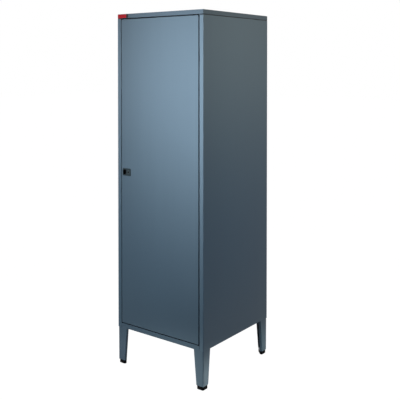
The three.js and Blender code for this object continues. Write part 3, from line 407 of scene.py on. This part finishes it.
def plated(name, shade, pale, roughness):
    """Plated steel: a fine crystal pattern, drawing lines and dull patches."""
    material, shader, place = finish_start(name)
    crystal = place.node("TexVoronoi", None, {"Vector": place, "Scale": 700.0}, "Color")
    crystal_tone = place.node("SeparateColor", None, {"Color": crystal}, "Red")
    drawn = noise(stretched(place, DRAWN_STRETCH), scale=1.0, detail=3.0)
    dull = noise(place, scale=60.0, detail=4.0)
    finish_end(shader, place, {
        "Base Color": mixed(crystal_tone * 0.4 + dull * 0.6, shade, pale),
        "Roughness": drawn * 0.16 + dull * 0.14 + roughness,
        "Normal": bumped(drawn * 0.6 + crystal_tone * 0.4, strength=0.12, distance=0.0001),
        "Metallic": 1.0,
    })
    return material


def pick(kind, wanted):
    """Selects the faces, edges or corners of the mesh in edit mode that pass a test."""
    bpy.ops.mesh.select_mode(type=kind)
    bpy.ops.mesh.select_all(action="DESELECT")
    mesh = bmesh.from_edit_mesh(bpy.context.object.data)
    for item in {"FACE": mesh.faces, "EDGE": mesh.edges, "VERT": mesh.verts}[kind]:
        corners = [item] if kind == "VERT" else item.verts
        middle = sum((v.co for v in corners), Vector()) / len(corners)
        item.select_set(wanted(middle, item))
    mesh.select_flush_mode()
    bmesh.update_edit_mesh(bpy.context.object.data)


def model_start(name):
    """Names the primitive that was just added, applies its place and opens it for editing."""
    piece = bpy.context.object
    piece.name = piece.data.name = name
    bpy.ops.object.transform_apply(location=True, rotation=True, scale=True)
    bpy.ops.object.mode_set(mode="EDIT")
    return piece


def model_end(piece, finish, slot, angle=SHARP):
    """Closes a modelled piece: faces outwards, round faces shaded smooth, finish on."""
    bpy.ops.mesh.select_all(action="SELECT")
    bpy.ops.mesh.normals_make_consistent(inside=False)
    bpy.ops.object.mode_set(mode="OBJECT")
    activate(piece)
    bpy.ops.object.shade_smooth_by_angle(angle=angle)
    piece.data.materials.clear()
    piece.data.materials.append(finish)
    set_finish(piece, slot)


def placed_copy(piece, name, move, turn=0.0, tilt=0.0):
    """A copy with its own mesh, which is tilted about X, turned about Z and moved to its place."""
    copy = bpy.data.objects.new(name, piece.data.copy())
    scene.collection.objects.link(copy)
    activate(copy)
    copy.rotation_euler = (tilt, 0, turn)
    copy.location = move
    bpy.ops.object.transform_apply(location=True, rotation=True, scale=True)
    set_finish(copy, piece["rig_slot"])
    return copy


glide_black = moulded_black(
    "black nylon", (0.002, 0.002, 0.0025), (0.005, 0.0055, 0.006), roughness=0.55, shine=0.06)
glide_low, glide_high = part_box("front_left_foot_pad")
GLIDE_HALF = (glide_high.x - glide_low.x) / 2
GLIDE_HEIGHT = glide_high.z - glide_low.z
GLIDE_CUT = 0.0288
GLIDE_CORNER = 0.0085
GLIDE_BLUNT = 0.0035
GLIDE_ROUND = 0.0025
GLIDE_CHAMFER = 0.0014
GROOVE_LOW = 0.0125
GROOVE_HIGH = 0.0145
GROOVE_DEPTH = 0.0008
SOLE_RING = 0.002
SOLE_RECESS = 0.0012
FACING = 0.9


def at_square_corner(place, vert):
    return abs(abs(place.x) - GLIDE_HALF) + abs(abs(place.y) - GLIDE_HALF) < WELD


def on_slanting_side(place, vert):
    return abs(place.x + place.y - 2 * GLIDE_HALF + GLIDE_CUT) < WELD


deselect()
bpy.ops.mesh.primitive_plane_add(size=2 * GLIDE_HALF)
glide = model_start("glide")
pick("VERT", lambda place, vert: place.x > 0 and place.y > 0)
bpy.ops.mesh.bevel(offset=GLIDE_CUT, segments=1, affect="VERTICES")
pick("VERT", at_square_corner)
bpy.ops.mesh.bevel(offset=GLIDE_CORNER, segments=6, affect="VERTICES")
pick("VERT", on_slanting_side)
bpy.ops.mesh.bevel(offset=GLIDE_BLUNT, segments=3, affect="VERTICES")
bpy.ops.mesh.select_all(action="SELECT")
bpy.ops.mesh.extrude_region_move(TRANSFORM_OT_translate={"value": (0, 0, GLIDE_HEIGHT)})
bpy.ops.mesh.select_all(action="SELECT")
bpy.ops.mesh.normals_make_consistent(inside=False)
pick("EDGE", lambda middle, edge: middle.z < WELD and all(v.co.z < WELD for v in edge.verts))
bpy.ops.mesh.bevel(offset=GLIDE_ROUND, segments=6, affect="EDGES")
pick("EDGE", lambda middle, edge: all(v.co.z > GLIDE_HEIGHT - WELD for v in edge.verts))
bpy.ops.mesh.bevel(offset=GLIDE_CHAMFER, segments=3, affect="EDGES")
for cut_height in (GROOVE_LOW, GROOVE_HIGH):
    bpy.ops.mesh.select_all(action="SELECT")
    bpy.ops.mesh.bisect(plane_co=(0, 0, cut_height), plane_no=(0, 0, 1))
pick("FACE", lambda middle, face: GROOVE_LOW < middle.z < GROOVE_HIGH)
bpy.ops.mesh.extrude_region_shrink_fatten(TRANSFORM_OT_shrink_fatten={"value": -GROOVE_DEPTH})
pick("FACE", lambda middle, face: middle.z < WELD and face.normal.z < -FACING)
bpy.ops.mesh.inset(thickness=SOLE_RING)
bpy.ops.mesh.extrude_region_move(TRANSFORM_OT_translate={"value": (0, 0, SOLE_RECESS)})
model_end(glide, glide_black, "black_plastic")

stud_plate = plated("zinc plate on thread", (0.46, 0.47, 0.47), (0.66, 0.66, 0.64), roughness=0.24)
stud_low, stud_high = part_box("front_left_foot_stud")
STUD_RADIUS = (stud_high.x - stud_low.x) / 2
STUD_LENGTH = stud_high.z - stud_low.z
THREAD_PITCH = 0.0015
THREAD_DEPTH = 0.0008
THREAD_ROOT = STUD_RADIUS - THREAD_DEPTH
CREST_START = THREAD_PITCH * 0.42
CREST_END = THREAD_PITCH * 0.58
THREAD_LEAD = 2 * THREAD_PITCH
THREAD_STEPS = 28
SPARE_TURNS = 4
SMALL_ROUND = math.radians(35)
deselect()
bpy.ops.mesh.primitive_plane_add(size=THREAD_PITCH)
stud = model_start("stud")
bpy.ops.mesh.delete(type="VERT")
profile = bmesh.from_edit_mesh(stud.data)
thread_points = ((THREAD_ROOT, 0.0), (STUD_RADIUS, CREST_START), (STUD_RADIUS, CREST_END),
                 (THREAD_ROOT, THREAD_PITCH))
ring = [profile.verts.new((radius, 0, height - THREAD_LEAD)) for radius, height in thread_points]
for first, second in zip(ring, ring[1:]):
    profile.edges.new((first, second))
bmesh.update_edit_mesh(stud.data)
bpy.ops.object.mode_set(mode="OBJECT")
rolled = stud.modifiers.new("rolled thread", "SCREW")
rolled.screw_offset = THREAD_PITCH
rolled.iterations = math.ceil(STUD_LENGTH / THREAD_PITCH) + SPARE_TURNS
rolled.steps = rolled.render_steps = THREAD_STEPS
rolled.use_merge_vertices = True
bpy.ops.object.modifier_apply(modifier=rolled.name)
bpy.ops.object.mode_set(mode="EDIT")
for cut_height, outwards in ((0.0, -1), (STUD_LENGTH, 1)):
    bpy.ops.mesh.select_all(action="SELECT")
    bpy.ops.mesh.remove_doubles(threshold=WELD)
    bpy.ops.mesh.bisect(plane_co=(0, 0, cut_height), plane_no=(0, 0, outwards),
                        use_fill=True, clear_outer=True)
model_end(stud, stud_plate, "zinc_steel", SMALL_ROUND)

QUARTER_TURN = math.pi / 2
for quarter, corner in enumerate(CORNERS):
    low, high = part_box(f"{corner}_foot_pad")
    pad = placed_copy(glide, f"{corner}_glide",
                      ((low.x + high.x) / 2, (low.y + high.y) / 2, low.z), quarter * QUARTER_TURN)
    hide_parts(f"{corner}_foot_pad")
    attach(pad, f"{corner}_foot")
    low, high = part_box(f"{corner}_foot_stud")
    thread = placed_copy(stud, f"{corner}_threaded_stud",
                         ((low.x + high.x) / 2, (low.y + high.y) / 2, low.z))
    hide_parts(f"{corner}_foot_stud")
    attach(thread, f"{corner}_foot")
for pattern in (glide, stud):
    bpy.data.objects.remove(pattern)

# Corner ties: small folded plates spot-welded under the floor behind the ends of its rails. They
# tie the rails to the posts, close the slits between them, and are coated with the body.
TIE_WIDTH = 0.029
TIE_FROM_MIDDLE = 0.2565
TIE_FROM_FRONT = 0.0027
TIE_SHEET = 0.001
TIE_LIP = 0.009
TIE_LOW = 0.2121
TIE_HIGH = 0.2222
TIE_EDGE = 0.0002
TIE_PITCH = 2 * TIE_FROM_MIDDLE + TIE_WIDTH
tie_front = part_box("floor_panel")[0].y + TIE_FROM_FRONT
deselect()
bpy.ops.mesh.primitive_cube_add(
    size=1, scale=(TIE_WIDTH, TIE_SHEET, TIE_HIGH - TIE_LOW),
    location=(TIE_FROM_MIDDLE + TIE_WIDTH / 2, tie_front + TIE_SHEET / 2, (TIE_LOW + TIE_HIGH) / 2))
tie = model_start("front_right_tie")
bpy.ops.mesh.select_all(action="SELECT")
bpy.ops.mesh.bisect(plane_co=(0, 0, TIE_HIGH - TIE_SHEET), plane_no=(0, 0, 1))
pick("FACE", lambda middle, face: face.normal.y > FACING and middle.z > TIE_HIGH - TIE_SHEET)
bpy.ops.mesh.extrude_region_move(TRANSFORM_OT_translate={"value": (0, TIE_LIP, 0)})
pick("EDGE", lambda middle, edge: edge.calc_face_angle(0) > SHARP)
bpy.ops.mesh.bevel(offset=TIE_EDGE, segments=2, affect="EDGES")
model_end(tie, outside_coat, "outside_paint")
ties = [tie, placed_copy(tie, "front_left_tie", (-TIE_PITCH, 0, 0)),
        placed_copy(tie, "rear_left_tie", (0, 0, 0), math.pi),
        placed_copy(tie, "rear_right_tie", (TIE_PITCH, 0, 0), math.pi)]
for plate in ties:
    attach(plate, "carcass")


# Door pivots and bumpers: blackened steel pins stand in the header and the floor, and black nylon
# bushes in the door turn on them. Rubber buttons on the lock-side post quieten the door.
def finished(node, finish):
    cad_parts[node].material_slots[0].material = finish


blackened = plated("blackened steel", (0.030, 0.032, 0.034), (0.055, 0.057, 0.060), roughness=0.34)
for pin in ("upper_pivot_pin", "lower_pivot_pin", "pivot_washer"):
    finished(pin, blackened)
for bush in ("upper_pivot_bush", "lower_pivot_bush"):
    finished(bush, glide_black)

rubber, rubber_shader, rubber_place = finish_start("black rubber")
bloom = noise(rubber_place, scale=500.0, detail=4.0)
finish_end(rubber_shader, rubber_place, {
    "Base Color": mixed(bloom, (0.010, 0.010, 0.010), (0.030, 0.030, 0.029)),
    "Roughness": bloom * 0.15 + 0.75,
    "Normal": bumped(bloom, strength=0.3, distance=0.0002),
})
for bumper in ("upper_bumper", "lower_bumper"):
    finished(bumper, rubber)

# Door: a pressed pan in the same coat as the body, with a top-hat channel spot-welded behind it.
# It hangs on the pivots with a wider gap on the hinge side than on the lock side.
coated_copy("door_skin", "door_pan", SHEET_EDGE, outside_coat, "outside_paint", "door")
coated_copy("door_stiffener", "door_stiffener_channel", SHEET_EDGE, inside_coat, "inside_paint", "door")

# Lock: a black moulding with a finger pocket, clipped into the door, round a plated key cylinder.
# Behind the door a round nut holds it, and the cam is screwed to the cylinder's tail.
HOUSING_EDGE = 0.0003
KEY_EDGE = 0.0002
PLUG_RADIUS = 0.0053
PLUG_FADE = 0.0002
PLUG_COLOUR = (0.012, 0.016, 0.018)
housing_black = moulded_black(
    "grained black moulding", (0.025, 0.042, 0.053), (0.034, 0.055, 0.067), roughness=0.42, shine=0.2)
coated_copy("lock_housing", "lock_moulding", HOUSING_EDGE, housing_black, "black_plastic", "door")

key_low, key_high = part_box("lock_cylinder")
KEY_X = (key_low.x + key_high.x) / 2
KEY_Z = (key_low.z + key_high.z) / 2
key_plate, key_shader, key_place = finish_start("turned dark steel")
turned_place = key_place.node("Mapping", None, {"Vector": key_place, "Location": (-KEY_X, 0, -KEY_Z)})
turning = key_place.node("TexWave", {"wave_type": "RINGS", "rings_direction": "Y"}, {
    "Vector": turned_place, "Scale": 420.0, "Distortion": 0.6, "Detail": 1.0})
key_dull = noise(key_place, scale=300.0, detail=3.0)
key_offset = key_place.node("VectorMath", {"operation": "MULTIPLY"}, {
    0: turned_place, 1: (1.0, 0.0, 1.0)})
key_radius = key_place.node("VectorMath", {"operation": "LENGTH"}, {0: key_offset}, "Value")
key_ring = mixed(key_dull, (0.052, 0.074, 0.082), (0.074, 0.100, 0.108))
key_plug = ramped(key_radius, PLUG_RADIUS + PLUG_FADE, PLUG_RADIUS)
finish_end(key_shader, key_place, {
    "Base Color": mixed(key_plug, key_ring, PLUG_COLOUR),
    "Roughness": turning * 0.10 + key_dull * 0.15 + 0.28,
    "Normal": bumped(turning, strength=0.15, distance=0.0001),
    "Metallic": 0.9,
})
coated_copy("lock_cylinder", "key_cylinder", KEY_EDGE, key_plate, "dark_steel", "lock")

bright_plate = plated("bright zinc plate", (0.52, 0.53, 0.54), (0.70, 0.71, 0.71), roughness=0.22)
for piece in ("lock_cam", "cam_screw"):
    finished(piece, bright_plate)

NUT_RADIUS = 0.0155
NUT_HOLE = 0.0123
NUT_THICK = 0.0035
NUT_FRONT = -0.2846
NUT_SIDES = 48
NUT_BREAK = 0.0004
NUT_ROUND = math.radians(25)


def on_nut_rim(middle, edge):
    """The edges along the outer rim, not those across the nut's thickness."""
    outside = Vector((middle.x - KEY_X, middle.z - KEY_Z)).length > (NUT_RADIUS + NUT_HOLE) / 2
    return outside and abs(edge.verts[0].co.y - edge.verts[1].co.y) < WELD


deselect()
bpy.ops.mesh.primitive_cylinder_add(
    vertices=NUT_SIDES, radius=NUT_HOLE, depth=NUT_THICK, end_fill_type="NOTHING",
    rotation=(math.pi / 2, 0, 0), location=(KEY_X, NUT_FRONT + NUT_THICK / 2, KEY_Z))
lock_nut = model_start("lock_nut")
bpy.ops.mesh.select_all(action="SELECT")
bpy.ops.mesh.extrude_region_shrink_fatten(TRANSFORM_OT_shrink_fatten={"value": NUT_RADIUS - NUT_HOLE})
pick("EDGE", on_nut_rim)
bpy.ops.mesh.bevel(offset=NUT_BREAK, segments=2, affect="EDGES")
model_end(lock_nut, bright_plate, "zinc_steel", NUT_ROUND)
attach(lock_nut, "door")

# Lock rods and guides: flat plated bars driven by the cam's pins. Angles guide them, each held to
# the door's lip by two blind rivets whose heads show the broken end of the mandrel.
GUIDES = ("upper_rod_tip_guide", "upper_rod_lock_guide", "lower_rod_lock_guide", "lower_rod_tip_guide")
for piece in ("upper_rod", "lower_rod") + GUIDES:
    finished(piece, bright_plate)

RIVET_SIDES = 24
RIVET_RADIUS = 0.0027
RIVET_HEAD = 0.0011
RIVET_ROUND = 0.0007
MANDREL_RADIUS = 0.0010
MANDREL_DEPTH = 0.0005
deselect()
bpy.ops.mesh.primitive_cylinder_add(
    vertices=RIVET_SIDES, radius=RIVET_RADIUS, depth=RIVET_HEAD, location=(0, 0, RIVET_HEAD / 2))
rivet = model_start("rivet")
pick("EDGE", lambda middle, edge: all(v.co.z > RIVET_HEAD - WELD for v in edge.verts))
bpy.ops.mesh.bevel(offset=RIVET_ROUND, segments=4, affect="EDGES")
pick("FACE", lambda middle, face: middle.z > RIVET_HEAD - WELD)
bpy.ops.mesh.inset(thickness=RIVET_RADIUS - RIVET_ROUND - MANDREL_RADIUS)
bpy.ops.mesh.extrude_region_move(TRANSFORM_OT_translate={"value": (0, 0, -MANDREL_DEPTH)})
model_end(rivet, bright_plate, "zinc_steel", SMALL_ROUND)

TO_THE_BACK = -math.pi / 2
GUIDE_SHEET = 0.0015
GUIDE_RIVET_FROM_END = 0.006
GUIDE_RIVET_HEIGHTS = (("lower", 0.009), ("upper", 0.017))
for guide in GUIDES:
    low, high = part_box(guide)
    for place, height in GUIDE_RIVET_HEIGHTS:
        head = placed_copy(
            rivet, f"{guide}_{place}_rivet",
            (low.x + GUIDE_RIVET_FROM_END, low.y + GUIDE_SHEET, low.z + height), tilt=TO_THE_BACK)
        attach(head, "door")

# Body rivets: blind rivets hold the stop angle to the floor and the back panel in the sides' rear
# flanges. The ones at the back are coated over with the body.
STOP_SHEET = 0.001
STOP_RIVET_PLACES = (-0.20, -0.07, 0.07, 0.20)
STOP_RIVET_FROM_EDGE = 0.007
low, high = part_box("floor_stop")
for count, place in enumerate(STOP_RIVET_PLACES):
    head = placed_copy(rivet, f"floor_stop_rivet_{count + 1}",
                       (place, high.y - STOP_RIVET_FROM_EDGE, low.z + STOP_SHEET))
    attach(head, "carcass")

BACK_RIVETS = 7
BACK_RIVET_FROM_END = 0.04
FLANGE_MIDDLE = 0.277
low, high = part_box("back_panel")
flange_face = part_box("right_side_panel")[1].y
back_rivet_span = high.z - low.z - 2 * BACK_RIVET_FROM_END
for side, sign in (("left", -1), ("right", 1)):
    for count in range(BACK_RIVETS):
        height = low.z + BACK_RIVET_FROM_END + back_rivet_span * count / (BACK_RIVETS - 1)
        head = placed_copy(rivet, f"back_{side}_rivet_{count + 1}",
                           (sign * FLANGE_MIDDLE, flange_face, height), tilt=TO_THE_BACK)
        head.data.materials[0] = outside_coat
        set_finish(head, "outside_paint")
        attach(head, "carcass")
bpy.data.objects.remove(rivet)

# Badge plate: a plain plate of thin sheet at the left end of the cap's front flange, stuck on.
# It is enamelled red with a dark end, and a narrow rim stands round its face.
BADGE_LEFT = -0.287
BADGE_WIDTH = 0.074
BADGE_HEIGHT = 0.0195
BADGE_THICK = 0.0012
BADGE_DARK = 0.013
BADGE_FADE = 0.0002
BADGE_CORNER = 0.0025
BADGE_RIM = 0.0009
BADGE_SUNK = 0.0003
cap_low, cap_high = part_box("top_cap")
badge_middle = (cap_low.z + cap_high.z) / 2
enamel, enamel_shader, enamel_place = finish_start("red enamel")
enamel_cloud = noise(enamel_place, scale=180.0, detail=3.0)
enamel_x = enamel_place.node("SeparateXYZ", None, {"Vector": enamel_place}, "X")
dark_start = BADGE_LEFT + BADGE_WIDTH - BADGE_DARK
dark_end = ramped(enamel_x, dark_start - BADGE_FADE, dark_start)
enamel_red = mixed(enamel_cloud, (0.42, 0.013, 0.024), (0.50, 0.017, 0.029))
finish_end(enamel_shader, enamel_place, {
    "Base Color": mixed(dark_end, enamel_red, (0.035, 0.03, 0.03)),
    "Roughness": enamel_cloud * 0.12 + 0.25,
    "Normal": bumped(enamel_cloud, strength=0.05, distance=0.0001),
    "Specular IOR Level": 0.15,
})
deselect()
bpy.ops.mesh.primitive_cube_add(
    size=1, scale=(BADGE_WIDTH, BADGE_THICK, BADGE_HEIGHT),
    location=(BADGE_LEFT + BADGE_WIDTH / 2, cap_low.y - BADGE_THICK / 2, badge_middle))
badge = model_start("badge_plate")
pick("EDGE", lambda middle, edge: abs(edge.verts[0].co.y - edge.verts[1].co.y) > BADGE_THICK / 2)
bpy.ops.mesh.bevel(offset=BADGE_CORNER, segments=5, affect="EDGES")
pick("FACE", lambda middle, face: face.normal.y < -FACING)
bpy.ops.mesh.inset(thickness=BADGE_RIM)
bpy.ops.mesh.extrude_region_move(TRANSFORM_OT_translate={"value": (0, BADGE_SUNK, 0)})
model_end(badge, enamel, "outside_paint")
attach(badge, "carcass")
